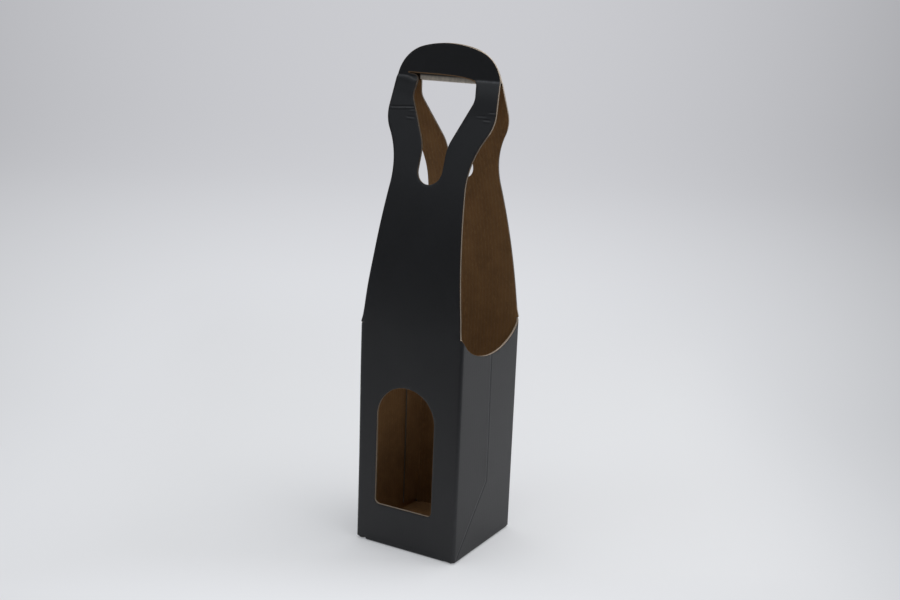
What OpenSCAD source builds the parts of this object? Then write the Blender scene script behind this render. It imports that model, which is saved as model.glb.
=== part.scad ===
// Tall upright carrier, cut and folded from a single sheet of fine corrugated
// board. The front and back walls run on past the side walls,
// narrow to a neck, lean together and meet in a rounded head that is the handle.
// Millimetres, Z up, origin on the floor in the middle of the base.

/* [Body] */
// Width of the body across the front
body_w = 95.5; // [91:0.5:98]
// Depth of the body from front to back
body_d = 96; // [91:0.5:98]
// Height of the four corner folds, where the side walls end
shoulder_z = 188.5; // [182:0.5:195]
// Height of the whole carrier
carrier_h = 412.5; // [409:0.5:418]

/* [Board] */
// Thickness of the corrugated board
board = 1.5; // [1.2:0.1:1.7]
// Outside radius of the corner folds and the base folds
fold_r = 2.8; // [2:0.1:3.4]
// Air between board faces that lie on each other
air = 0.1; // [0.05:0.05:0.2]
// Width of the pressed score lines in the side walls
score_w = 1.2; // [0.8:0.1:2]
// Depth of the pressed score lines
score_depth = 0.4; // [0.2:0.1:0.6]

/* [Front and back panels] */
// Height above the shoulder where the edge stops flaring out towards it
flare_rise = 13.5; // [11:0.5:18]
// Half of the panel width there
flare_half = 44.4; // [42:0.1:45]
// Distance of the neck, the narrowest place, below the top
waist_drop = 104.5; // [101:0.5:106]
// Half of the panel width at the neck
waist_half = 33.9; // [32:0.1:35]
// Distance of the widest place above the neck from the top
bulge_drop = 53; // [50:0.5:54]
// Half of the panel width there
bulge_half = 48.9; // [47.5:0.1:50]
// Radius of the edge round the widest place
bulge_r = 30; // [26:1:34]
// Half of the head width where its sides are upright
head_half = 47.1; // [46:0.1:48]
// Radius of the two round corners of the head
corner_r = 33; // [29:1:36]
// Radius of the flat arch over the head
crown_r = 87; // [80:1:95]
// Length of the straight leg of the front panel between its bow and the head
front_leg = 75.5; // [65:0.5:85]
// Length of the straight leg of the back panel
back_leg = 88; // [75:0.5:100]

/* [Handle] */
// Height of the upright head above the crease where the leaning legs end
head_h = 27.5; // [25:0.5:30]
// Radius of that crease on the outside of the board
crease_r = 3; // [2:0.5:5]
// Place of the middle of the head, a little in front of the middle of the body
handle_lean = -3.5; // [-5:0.5:0]
// Half of the width of the slot under the hand opening's funnel
slot_half = 11; // [9:0.5:13]
// Distance of the round lower end of the hand opening below the top
slot_drop = 108.5; // [104:0.5:112]
// Length of the straight sides of the slot
slot_straight = 11; // [8:1:14]
// Radius where the slot widens into the funnel
funnel_r = 32; // [26:1:36]
// Distance of the round funnel corners from the middle
grip_x = 19.3; // [18:0.1:20.5]
// Distance of the round funnel corners below the top
grip_drop = 41; // [39.5:0.5:42.5]
// Radius of the round funnel corners
grip_r = 9; // [8:0.5:10]
// Half of the width of the opening at the very top
grip_top_half = 26.4; // [25:0.1:27.5]
// Distance of the top of the back opening below the crease
grip_gap = 1; // [0.5:0.1:1.5]
// How far the top of the front opening stands above that of the back one
grip_step = 3.2; // [2:0.1:4]
// Height of the flap of the back opening, folded up inside the head
flap_h = 18; // [12:1:20]
// Radius of the two upper corners of that flap
flap_corner_r = 7; // [4:0.5:9]
// Length of the relief slit beside the front opening
slit_len = 9.5; // [6:0.5:12]
// Width of the relief slit
slit_w = 0.8; // [0.6:0.1:1.2]

/* [Window] */
// Half of the window width, and radius of its arch
window_half = 27; // [22:0.1:30]
// Place of the middle of the window across the front
window_x = -2.7; // [-8:0.1:8]
// Height of the lower edge of the window
window_z = 35.8; // [25:0.1:50]
// Height of the upright sides of the window
window_side = 77.2; // [60:0.1:90]
// Radius of the lower corners of the window
window_r = 4; // [2:0.5:8]

/* [Side walls] */
// Depth of the scoop in the top of each side wall
scoop_depth = 21; // [15:0.5:26]
// Radius of the scoop in its middle, as a share of the depth of the body
scoop_flatness = 0.79; // [0.76:0.01:0.82]
// Angle at which the scoop starts to curve up more tightly towards its ends
scoop_turn = 25; // [23:1:27]
// Height where the upright score line turns to the front corner
score_turn_z = 58; // [45:1:75]
// Width of the glued seam flap inside the left wall
seam_flap = 22; // [15:1:30]
// How far the raw edge of the left wall stays short of the back face
seam_step = 0.5; // [0.3:0.1:1]

/* [Base] */
// Half of the width of the front and back base flaps
base_flap_half = 38.5; // [34:0.5:40]
// Air between the front and back base flaps
base_seam = 0.6; // [0.4:0.1:1.5]
// Length of each side base flap
side_flap = 38; // [30:1:40]
// Slope at which a side base flap climbs over the other flaps
climb_deg = 25; // [20:1:30]
// Height of the nick in the two opposite lower corners
nick_h = 2.4; // [1.5:0.1:4]

/* [Hidden] */

$fn = 48;
bow_fn = 360;

// How far a cutter reaches past the face that it cuts
past = 5;
// How far a rounding arc reaches past the corners of the outline that it rounds,
// so that it crosses the straight edges and never just misses them
hair = 0.002;
// Heights along the tall panels
flare_z = shoulder_z + flare_rise;
waist_z = carrier_h - waist_drop;
bulge_z = carrier_h - bulge_drop;
crease_z = carrier_h - head_h;
grip_z = carrier_h - grip_drop;
slot_z = carrier_h - slot_drop;
// Height where the tall panels start to bow in, and where they start
bow_z = shoulder_z - fold_r;
panel_z = bow_z - past;
head_t = 3 * board + 2 * air;
head_front_y = handle_lean - head_t / 2;
head_back_y = handle_lean + head_t / 2;

// Centres and radii of the arcs along the panel edge
waist_gap = bulge_half - waist_half;
waist_rise = bulge_z - waist_z;
waist_r = (waist_gap ^ 2 + waist_rise ^ 2) / (2 * waist_gap) - bulge_r;
waist_c = [waist_half + waist_r, waist_z];
bulge_c = [bulge_half - bulge_r, bulge_z];
crown_c = [0, carrier_h - crown_r];
corner_x = head_half - corner_r;
corner_c = [corner_x, crown_c.y + sqrt((crown_r - corner_r) ^ 2 - corner_x ^ 2)];

// Centres of the arcs along the hand opening
slot_c = [0, slot_z + slot_half];
slot_top = slot_c.y + slot_straight;
funnel_c = [slot_half + funnel_r, slot_top];
grip_c = [grip_x, grip_z];
grip_top_z = crease_z - grip_gap;

// Inside of a fold, and the height of the second layer of the base
inner_r = fold_r - board;
lap_z = board + air;
// Place where a side base flap has climbed to the second layer
climb_end = body_w / 2 - base_flap_half - 3 * air;
climb_start = climb_end - lap_z / tan(climb_deg);
// The seam flap reaches from above the base to just below the scoop
seam_low_z = lap_z + 2 * board;
seam_high_z = shoulder_z - 3 * board;
seam_x = body_w / 2 - board - fold_r;

function polar(c, r, a) = c + r * [cos(a), sin(a)];
function bearing(v) = atan2(v.y, v.x);
// Point where the line from p touches the circle, on its clockwise side
function touch(p, c, r) = polar(c, r, bearing(p - c) - acos(r / norm(p - c)));
// Bearing of the touching points of the line that crosses between two circles
function cross_touch(c1, r1, c2, r2) =
    bearing(c2 - c1) + acos((r1 + r2) / norm(c2 - c1));
// Bearing of the touching points of the line along the right of two circles
function side_touch(c1, r1, c2, r2) =
    bearing(c2 - c1) - acos((r1 - r2) / norm(c2 - c1));

// Extrudes a front elevation through the whole depth
module through_depth() {
    rotate([90, 0, 0]) linear_extrude(2 * body_d, center = true) children();
}

// Extrudes a side elevation across the given width
module across(width = 2 * body_w) {
    rotate([90, 0, 90]) linear_extrude(width, center = true) children();
}

// Disc that rounds an outline
module disc(c, r) {
    translate(c) circle(r + hair, $fn = bow_fn);
}

module both_sides() {
    children();
    mirror([1, 0]) children();
}

// Front elevation of one half of a tall panel above the shoulder
module panel_half() {
    flare = [flare_half, flare_z];
    turn_c = bulge_c - waist_c;
    turn = polar(waist_c, waist_r, bearing(turn_c));
    side = side_touch(bulge_c, bulge_r, corner_c, corner_r);
    difference() {
        polygon([[0, panel_z], [body_w / 2 - fold_r, panel_z],
                 [body_w / 2 - fold_r, shoulder_z], [body_w / 2, shoulder_z], flare,
                 touch(flare, waist_c, waist_r), turn, bulge_c, [0, bulge_z]]);
        disc(waist_c, waist_r);
    }
    disc(bulge_c, bulge_r);
    polygon([[0, bulge_z], bulge_c, polar(bulge_c, bulge_r, side),
             polar(corner_c, corner_r, side), corner_c, [0, corner_c.y]]);
    disc(corner_c, corner_r);
    intersection() {
        disc(crown_c, crown_r);
        polygon([crown_c, polar(crown_c, 2 * crown_r, bearing(corner_c - crown_c)),
                 [0, crown_c.y + 2 * crown_r]]);
    }
}

// Front elevation of one half of the hand opening
module grip_half(top_z) {
    funnel = cross_touch(funnel_c, funnel_r, grip_c, grip_r);
    top = [grip_top_half, grip_top_z];
    difference() {
        polygon([[0, slot_c.y], slot_c + [slot_half, 0], [slot_half, slot_top],
                 polar(funnel_c, funnel_r, funnel), polar(grip_c, grip_r, funnel + 180),
                 grip_c, touch(top, grip_c, grip_r), top, [grip_top_half, top_z], [0, top_z]]);
        disc(funnel_c, funnel_r);
    }
    disc(grip_c, grip_r);
    disc(slot_c, slot_half);
}

module panel_elevation(top_z) {
    difference() {
        both_sides() panel_half();
        both_sides() grip_half(top_z);
    }
}

// Side elevation of all that lies behind one face of a tall panel: the outer
// face at depth 0, the inner face at the thickness of the board. It bows in
// just below the shoulder, leans on as a straight leg and turns up into the head.
module behind_face(leg, drop, depth) {
    start = -body_d / 2;
    rise = crease_z - bow_z;
    // The leg, drawn on down, meets the upright wall this far above the bow's start
    meet = (drop ^ 2 + rise ^ 2 - leg ^ 2) / (2 * (leg + rise));
    lean = atan2(drop, rise - meet);
    bow_r = meet / tan(lean / 2);
    bow_c = [start + bow_r, bow_z];
    crease_c = [start + drop - crease_r, crease_z + crease_r * tan(lean / 2)];
    far = start + body_d;
    intersection() {
        across() translate(bow_c) circle(bow_r - depth, $fn = bow_fn);
        across() polygon([[start, bow_z], [far, bow_z], [far, crease_z],
                          [start, crease_z]]);
    }
    difference() {
        across() polygon([[start + depth, bow_z - past], [start + depth, bow_z],
                          polar(bow_c, bow_r - depth - hair, 180 - lean),
                          polar(crease_c, crease_r + depth - hair, -lean),
                          crease_c + [crease_r + depth, 0],
                          [start + drop + depth, carrier_h + past],
                          [far, carrier_h + past], [far, bow_z - past]]);
        across() translate(crease_c) circle(crease_r + depth);
    }
}

module folded_panel(leg, drop) {
    difference() {
        behind_face(leg, drop, 0);
        behind_face(leg, drop, board);
    }
}

module front_panel() {
    difference() {
        intersection() {
            folded_panel(front_leg, body_d / 2 + head_front_y);
            through_depth() panel_elevation(grip_top_z + grip_step);
        }
        // Relief slit that runs on from the top of the opening to the left
        translate([-grip_top_half - slit_len, head_front_y - past,
                   grip_top_z + grip_step - slit_w])
            cube([slit_len + past, past + board + air / 2, slit_w]);
    }
}

module back_panel() {
    difference() {
        intersection() {
            mirror([0, 1, 0])
                folded_panel(back_leg, body_d / 2 - head_back_y);
            through_depth() panel_elevation(grip_top_z + fold_r);
        }
        // Below the shoulder the glued seam takes the place of the left corner fold
        translate([-body_w, 0, 0]) cube([body_w - seam_x, body_d, shoulder_z]);
    }
}

// The cut-out of the back opening stays on as a flap. It is folded forward and
// up, and lies between the two heads as a smooth edge for the fingers.
module grip_flap() {
    flap_r = board + air / 2;
    translate([0, head_back_y, grip_top_z + flap_r])
        mirror([0, 1, 0])
            across(2 * grip_top_half) {
                square([board, past]);
                translate([flap_r, 0]) difference() {
                    circle(flap_r);
                    circle(air / 2);
                    translate([-2 * flap_r, 0]) square([4 * flap_r, 2 * flap_r]);
                }
                translate([board + air, 0]) square([board, flap_h - flap_corner_r]);
            }
    translate([0, head_back_y - board - air, grip_top_z + flap_r + flap_h - flap_corner_r])
        rotate([90, 0, 0]) linear_extrude(board) {
            both_sides() translate([grip_top_half - flap_corner_r, 0]) circle(flap_corner_r);
            square([2 * (grip_top_half - flap_corner_r), 2 * flap_corner_r], center = true);
        }
}

// Plan of the four walls with their rounded corner folds
module rounded_plan(w, d, r) {
    square([w - 2 * r, d], center = true);
    square([w, d - 2 * r], center = true);
    for (x = [-1, 1], y = [-1, 1])
        translate([x * (w / 2 - r), y * (d / 2 - r)]) circle(r);
}

// Side elevation of what the scoop takes away, with its lowest point at 0. The
// arcs towards its ends reach the shoulder just inside the corners of the body.
module scoop_elevation() {
    scoop_mid_r = scoop_flatness * body_d;
    mid_c = [0, scoop_mid_r];
    turn = polar(mid_c, scoop_mid_r, scoop_turn - 90);
    down = [sin(scoop_turn), -cos(scoop_turn)];
    reach = [body_d / 2 - board / 6, scoop_depth] - turn;
    scoop_end_r = -(reach * reach) / (2 * (reach * down));
    end_c = turn - scoop_end_r * down;
    difference() {
        union() {
            intersection() {
                translate(mid_c) circle(scoop_mid_r, $fn = bow_fn);
                polygon([mid_c, polar(mid_c, 2 * scoop_mid_r, scoop_turn - 90),
                         [0, -scoop_mid_r],
                         polar(mid_c, 2 * scoop_mid_r, -90 - scoop_turn)]);
            }
            both_sides() disc(end_c, scoop_end_r);
        }
        translate([-body_d, scoop_depth + past]) square([2 * body_d, 4 * scoop_mid_r]);
    }
}

module window_elevation() {
    sill = window_half - window_r;
    translate([window_x, window_z]) {
        translate([0, window_side]) circle(window_half, $fn = bow_fn);
        translate([-window_half, window_r]) square([2 * window_half, window_side - window_r]);
        translate([-sill, 0]) square([2 * sill, window_side]);
        both_sides() translate([sill, window_r]) circle(window_r);
    }
}

// Pressed groove with a sharp bottom, along Z in a face that looks along X
module groove(length) {
    flank = score_w / 2 / score_depth;
    linear_extrude(length)
        polygon([[-score_depth, 0], [board, -flank * (board + score_depth)],
                 [board, flank * (board + score_depth)]]);
}

// The score runs down the middle of the wall, then slants to the front corner
module score_lines() {
    slant = [fold_r - body_d / 2, fold_r - score_turn_z];
    translate([body_w / 2, 0, score_turn_z]) {
        groove(shoulder_z - score_turn_z);
        rotate([bearing([slant.y, -slant.x]), 0, 0]) groove(norm(slant) - score_w);
    }
}

// The seam: the left wall ends in a raw edge. Beside it the back wall folds in
// and stays on as a flap that is glued to the inside of the left wall.
module seam() {
    flap_y = body_d / 2 - fold_r;
    translate([-body_w / 2, flap_y, 0]) cube([board, fold_r - seam_step, shoulder_z]);
    translate([-seam_x, flap_y, seam_low_z])
        linear_extrude(seam_high_z - seam_low_z) corner_ring([-1, 1]);
    translate([1.5 * board - body_w / 2, 0, 0])
        across(board)
            polygon([[flap_y, seam_low_z], [flap_y, seam_high_z],
                     [flap_y - seam_flap, shoulder_z - scoop_depth - 4 * board],
                     [flap_y - seam_flap, seam_low_z + 2 * board]]);
}

// Quarter of a ring, the section of a fold. The signs say which quarter.
module corner_ring(side) {
    scale(side) difference() {
        circle(fold_r);
        circle(inner_r);
        translate([-2 * fold_r, -2 * fold_r]) square([2 * fold_r, 4 * fold_r]);
        translate([-2 * fold_r, -2 * fold_r]) square([4 * fold_r, 2 * fold_r]);
    }
}

// Side elevations of the base flaps, with the outside of the wall at 0
module front_flap_elevation() {
    translate([fold_r, fold_r]) corner_ring([-1, -1]);
    translate([fold_r, 0]) square([(body_d - base_seam) / 2 - fold_r, board]);
}

module side_flap_elevation() {
    shift = board * tan(climb_deg / 2);
    translate([fold_r, fold_r]) corner_ring([-1, -1]);
    polygon([[fold_r, 0], [climb_start, 0], [climb_end, lap_z], [side_flap, lap_z],
             [side_flap, lap_z + board], [climb_end - shift, lap_z + board],
             [climb_start - shift, board], [fold_r, board]]);
}

module base() {
    for (turn = [0, 180])
        rotate([0, 0, turn]) {
            translate([0, -body_d / 2, 0])
                across(2 * base_flap_half) front_flap_elevation();
            translate([-body_w / 2, 0, 0]) rotate([90, 0, 0])
                linear_extrude(body_d - 2 * fold_r, center = true) side_flap_elevation();
        }
}

// Room for the base folds, and the nicks in two opposite corners
module base_cuts() {
    translate([-base_flap_half, -body_d, -past])
        cube([2 * base_flap_half, 2 * body_d, past + fold_r]);
    translate([-body_w, fold_r - body_d / 2, -past])
        cube([2 * body_w, body_d - 2 * fold_r, past + fold_r]);
    for (turn = [0, 180])
        rotate([0, 0, turn])
            translate([-body_w, -body_d, -past])
                cube([body_w - base_flap_half, body_d / 2 + fold_r, past + nick_h]);
}

module walls() {
    difference() {
        union() {
            difference() {
                linear_extrude(shoulder_z) difference() {
                    rounded_plan(body_w, body_d, fold_r);
                    rounded_plan(body_w - 2 * board, body_d - 2 * board, inner_r);
                }
                translate([-body_w, body_d / 2 - fold_r, -past])
                    cube([body_w - seam_x, body_d, shoulder_z + 2 * past]);
            }
            seam();
        }
        translate([0, 0, shoulder_z - scoop_depth]) across() scoop_elevation();
        translate([0, -body_d / 2, 0]) rotate([90, 0, 0])
            linear_extrude(4 * board, center = true) window_elevation();
        base_cuts();
        score_lines();
        mirror([1, 0, 0]) score_lines();
    }
}

module carrier() {
    color("#2c2b30") union() {
        walls();
        base();
        front_panel();
        back_panel();
        grip_flap();
    }
}

carrier();
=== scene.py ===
"""A tall carrier cut and folded from one sheet of fine corrugated board.

The board is drawn as the flat blank that a die would cut: s runs round the four
walls, v runs up them. The blank is a grid of points, trimmed by the cut lines,
and one fold function carries every point into space. Lengths in the shape code
are millimetres; the settings and the meshes are in metres.
"""

import math

import bpy
import numpy as np
from bpy.props import FloatProperty, FloatVectorProperty, PointerProperty
from bpy.types import Operator, Panel, PropertyGroup
from mathutils import Matrix, Vector
from mathutils.geometry import delaunay_2d_cdt


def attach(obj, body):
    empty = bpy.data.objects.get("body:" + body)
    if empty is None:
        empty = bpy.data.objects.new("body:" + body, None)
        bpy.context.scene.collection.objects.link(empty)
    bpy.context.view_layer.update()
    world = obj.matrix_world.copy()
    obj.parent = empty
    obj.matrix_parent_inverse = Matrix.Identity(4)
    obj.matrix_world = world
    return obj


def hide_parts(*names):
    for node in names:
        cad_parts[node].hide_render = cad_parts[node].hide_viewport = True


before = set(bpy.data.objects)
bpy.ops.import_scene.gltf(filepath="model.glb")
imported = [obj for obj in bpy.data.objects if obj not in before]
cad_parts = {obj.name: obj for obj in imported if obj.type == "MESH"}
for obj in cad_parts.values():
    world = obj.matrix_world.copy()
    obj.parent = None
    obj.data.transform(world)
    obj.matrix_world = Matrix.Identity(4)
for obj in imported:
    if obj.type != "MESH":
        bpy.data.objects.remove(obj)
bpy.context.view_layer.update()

bl_info = {
    "name": "Folded board carrier",
    "version": (1, 0, 0),
    "blender": (4, 5, 0),
    "location": "View3D > Sidebar > Carrier",
    "description": "Builds a folded board carrier on its CAD frame, with its stage",
    "category": "Object",
}

MM = 0.001
QUARTER = math.pi / 2
FULL = 2 * math.pi

# Body and board
BODY_W = 95.5
BODY_D = 96.0
SHOULDER_Z = 188.5
TOP_Z = 412.5
BOARD = 1.5
FOLD_R = 2.8
AIR = 0.1

# Elevation of the tall panels: bow, leaning leg, crease and upright head
BOW_Z = SHOULDER_Z - FOLD_R
FRONT_LEG = 75.5
BACK_LEG = 88.0
CREASE_Z = 385.0
CREASE_R = 3.0
HEAD_RUN = 60
HEAD_FRONT = BODY_D / 2 - 5.85
HEAD_BACK = BODY_D / 2 + 1.15

# Edge of the tall panels, as places x + i z. The right edge of the front one, the
# close edge, has a smaller ear and a fuller head than the others
PANEL_REACH = 52
EAR_Z = 195.0
EAR_FREE = 46.95
EAR_CLOSE = 45.15
FLARE = 44.4 + 202.0j
WAIST = 33.9 + 308.0j
BULGE = 48.9 + 359.5j
BULGE_R = 30.0
HEAD_HALF = 47.1
CORNER_R = 33.0
CLOSE_CORNER_R = 26.8
CROWN_R = 87.0

# Hand openings. The raw lip of the front one ends in a relief slit on the left; the
# flap of the back one turns forward and up between the heads
SLOT_HALF = 11.0
SLOT_C = 315.0j
SLOT_TOP = 326.0
FUNNEL_R = 32.0
GRIP_C = 16.2 + 371.9j
GRIP_R = 12.0
GRIP_TOP = 26.4 + 382.6j
LIP_RIGHT = [27.0 + 380.9j, 26.6 + 382.4j]
LIP_TOP = [24.6 + 384.2j, 20.6 + 385.4j, 15.2 + 386.3j, 6.7 + 387.2j, -8 + 387.6j, -26.4 + 387.7j]
LIP_LEFT = [-26.7 + 382.4j, -27.6 + 385.0j]
SLIT_HIGH = -26.4 + 387.9j
SLIT_LOW = -26.2 + 387.4j
SLIT_ROOT = -29.6 + 386.7j
FLAP_H = 18.0
FLAP_CORNER_R = 7.0

# Side walls: scoop and score line
SCOOP_DEPTH = 21.0
SCOOP_FLATNESS = 0.79
SCOOP_TURN = math.radians(25)
SCOOP_END_Y = (BODY_D - BOARD / 3) / 2
SCORE_Z = 58.0

# Base flaps, and how far the raw edge stands up between them at each corner
BASE_HALF = 38.5
BASE_SEAM = 0.6
SIDE_FLAP = 38.0
SIDE_HALF = 45.0
SIDE_TAPER = -1.2
FLAP_GAP = 0.1
CORNER_LOW = 0.9
CORNER_TIP = 0.8
NICK_TIP = 0.7
NICK_Z = 2.4
BACK_NICK_Z = 1.3
LAP_Z = BOARD + AIR
CLIMB = math.radians(25)
CLIMB_AT = 6.8

# Flap of the glued seam, inside the left wall
SEAM_W = 22.0
SEAM_LOW = 4.6
SEAM_HIGH = 184.0

# Places on the blank: s at the middle of each wall
FLAT_X = BODY_W / 2 - FOLD_R
FLAT_Y = BODY_D / 2 - FOLD_R
ARC = QUARTER * FOLD_R
S_RIGHT = FLAT_X + ARC + FLAT_Y
S_BACK = S_RIGHT + FLAT_Y + ARC + FLAT_X
S_LEFT = -S_RIGHT
SEAM_X = BODY_W / 2 - BOARD - FOLD_R
S_SEAM = S_BACK + SEAM_X
LEFT_END = BODY_D / 2 - 0.5

# The mouth of the left wall is splayed: how far, the heights between which that
# starts and ends, and the x over which it fades out to the middle
SPLAY = 0.7
SPLAY_START = (60, 165)
SPLAY_END = (215, 250)
SPLAY_SIDE = (20, 46)

# The cut rounds the outer face over by this depth, over this width
EDGE_ROUNDING = 0.12
BEVEL = 0.25


# ---------------------------------------------------------------- tracks

def track(start, heading, steps, first):
    """Path of the outer face of the board in one plane, as a complex curve.

    Within a step (length, turn) the heading changes at an even rate, so a step is
    an arc or a straight. The path is the running sum of exp(i heading) ds, and
    first is the blank coordinate at its start.
    """
    steps = np.array(steps)
    knots = first + np.concatenate([[0], np.cumsum(steps[:, 0])])
    turns = np.cumsum(np.radians(steps[:, 1]))
    turns = math.radians(heading) + np.concatenate([[0], turns])
    arc = np.unique(np.concatenate([np.arange(knots[0], knots[-1], 0.1), knots]))
    angle = np.interp(arc, knots, turns)
    mean = (angle[1:] + angle[:-1]) / 2
    path = start + np.concatenate([[0], np.cumsum(np.exp(1j * mean) * np.diff(arc))])
    return arc, angle, path


def along(path, arc, depth, side):
    """Points at the given blank coordinates, each moved from the face by its depth.

    The move is square to the path, by i exp(i heading) times the depth. Side is 1 where
    the inside lies to the left of the path, and -1 to the right.
    """
    knots, angle, places = path
    turn = np.interp(arc, knots, angle)
    return np.interp(arc, knots, places) + depth * side * 1j * np.exp(1j * turn)


def wall_track(flap, leg, drop):
    """Elevation of a tall panel: base flap and fold, upright wall, bow, leg, crease, head.

    The leg, drawn on down, meets the upright wall at the same distance above the bow's
    start as the bow's end lies along the leg, so both tangents of the bow are equal.
    """
    rise = CREASE_Z - BOW_Z
    tangent = (drop ** 2 + rise ** 2 - leg ** 2) / (2 * (leg + rise))
    lean = math.atan2(drop, rise - tangent)
    bow_r = tangent / math.tan(lean / 2)
    turn = math.degrees(lean)
    steps = [(flap, 0), (ARC, -90), (BOW_Z - FOLD_R, 0), (bow_r * lean, -turn),
             (leg - CREASE_R * math.tan(lean / 2), 0), (CREASE_R * lean, turn), (HEAD_RUN, 0)]
    knots = FOLD_R - ARC - flap + np.cumsum([s[0] for s in steps])
    return track(FOLD_R + flap + 0j, 180, steps, FOLD_R - ARC - flap), knots[4], knots[5]


def side_track():
    """Elevation of a side wall: its base flap lies on the other two and steps down to its fold.

    The step is two arcs that turn by the climb and back, with a straight between them
    that makes up the rest of the drop.
    """
    bend_r, slope = 2 * BOARD, math.degrees(CLIMB)
    drop = (LAP_Z - 2 * bend_r * (1 - math.cos(CLIMB))) / math.sin(CLIMB)
    reach = 2 * bend_r * math.sin(CLIMB) + drop * math.cos(CLIMB)
    high = CLIMB_AT + reach / 2
    steps = [(SIDE_FLAP - high, 0), (bend_r * CLIMB, slope), (drop, 0),
             (bend_r * CLIMB, -slope), (high - reach - FOLD_R, 0), (ARC, -90), (SHOULDER_Z, 0)]
    first = FOLD_R - sum(s[0] for s in steps[:6])
    return track(complex(SIDE_FLAP, LAP_Z), 180, steps, first), first


BASE_FLAP = (BODY_D - BASE_SEAM) / 2 - FOLD_R
FRONT, FRONT_C0, FRONT_C1 = wall_track(BASE_FLAP, FRONT_LEG, HEAD_FRONT)
BACK, BACK_C0, BACK_C1 = wall_track(BASE_FLAP, BACK_LEG, HEAD_BACK)
SIDE, SIDE_END = side_track()
PLAN = track(complex(-BODY_W / 2, LEFT_END), -90,
             [(LEFT_END + FLAT_Y, 0), (ARC, 90), (2 * FLAT_X, 0), (ARC, 90),
              (2 * FLAT_Y, 0), (ARC, 90), (FLAT_X + SEAM_X, 0), (ARC, 90), (SEAM_W + 1, 0)],
             S_LEFT - LEFT_END)
# The flap of the back opening turns forward and up round this small fold
FLAP_R = BOARD + AIR / 2
FLAP_FOLD_Z = GRIP_TOP.imag + FLAP_R


def height_to_blank(path, z):
    """Blank coordinate v at which the outer face of a tall panel stands at height z."""
    arc, _, places = path
    keep = arc > FOLD_R
    return np.interp(z, places.imag[keep], arc[keep])


FLAP_V = float(height_to_blank(BACK, FLAP_FOLD_Z))
# Above this the raw lip of the front hand opening is crushed and shows a wider rim
LIP_V = float(height_to_blank(FRONT, 384.3))
FLAP_LEN = math.pi * FLAP_R + FLAP_H
GRIP_FLAP = track(complex(HEAD_BACK, FLAP_FOLD_Z), -90,
                  [(math.pi * FLAP_R, 180), (FLAP_H + 1, 0)], 0.0)


# ---------------------------------------------------------------- cut lines

def arc_points(centre, radius, start, stop, pitch=1.4):
    """Points on a circle from one bearing to another, in radians, ends included."""
    count = max(3, int(abs(stop - start) * radius / pitch) + 2)
    return centre + radius * np.exp(1j * np.linspace(start, stop, count))


def spread(corners, pitch=1.8):
    """The same line with points at an even pitch between its corners, ends included."""
    parts = []
    for a, b in zip(corners[:-1], corners[1:]):
        count = max(1, int(abs(b - a) / pitch))
        parts.append(a + (b - a) * np.arange(count) / count)
    return np.concatenate(parts + [[corners[-1]]])


def bearing(v):
    """Angle of a complex number."""
    return math.atan2(v.imag, v.real)


def touch(p, centre, radius):
    """Bearing of the point where the line from p touches the circle, on its clockwise side."""
    return bearing(p - centre) - math.acos(radius / abs(p - centre))


def panel_edge(ear, corner_r):
    """Elevation of the right edge of a tall panel, from its ear at the shoulder to the crown.

    The line leaves the flare as a tangent of the neck's arc. That arc touches the
    bulge's circle; a straight tangent joins the bulge to the head's corner, which lies
    inside the crown's circle and touches it.
    """
    gap, rise = BULGE.real - WAIST.real, BULGE.imag - WAIST.imag
    waist_r = (gap ** 2 + rise ** 2) / (2 * gap) - BULGE_R
    waist_c, bulge_c = WAIST + waist_r, BULGE - BULGE_R
    crown_c = complex(0, TOP_Z - CROWN_R)
    corner_x = HEAD_HALF - corner_r
    corner_c = crown_c + complex(corner_x, math.sqrt((CROWN_R - corner_r) ** 2 - corner_x ** 2))
    join, rest = bulge_c - waist_c, corner_c - bulge_c
    side = bearing(rest) - math.acos((BULGE_R - corner_r) / abs(rest))
    crown = bearing(corner_c - crown_c)
    start = touch(FLARE, waist_c, waist_r)
    return np.concatenate([
        [complex(FLAT_X, SHOULDER_Z)],
        [complex(ear - 0.15, SHOULDER_Z + 0.2), complex(ear, SHOULDER_Z + 1.0)],
        spread([complex(0.6 * FLARE.real + 0.4 * ear, EAR_Z), FLARE]),
        spread([FLARE, waist_c + waist_r * np.exp(1j * start)])[1:-1],
        arc_points(waist_c, waist_r, start % FULL, bearing(join) % FULL),
        arc_points(bulge_c, BULGE_R, bearing(-join), side)[1:],
        arc_points(corner_c, corner_r, side, crown),
        arc_points(crown_c, CROWN_R, crown, QUARTER)[1:],
    ])


def grip_edge():
    """Elevation of the right edge of the hand opening, from its lowest point to its top corner.

    A round slot widens through a fillet, and a straight tangent joins that to the arc
    of the upper corner.
    """
    funnel_c = complex(SLOT_HALF + FUNNEL_R, SLOT_TOP)
    rest = GRIP_C - funnel_c
    cross = bearing(rest) + math.acos((FUNNEL_R + GRIP_R) / abs(rest))
    end = touch(GRIP_TOP, GRIP_C, GRIP_R)
    return np.concatenate([
        arc_points(SLOT_C, SLOT_HALF, -QUARTER, 0.0),
        arc_points(funnel_c, FUNNEL_R, math.pi, cross),
        arc_points(GRIP_C, GRIP_R, cross - math.pi, end + FULL * (end < cross - math.pi)),
        [GRIP_TOP],
    ])


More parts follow.
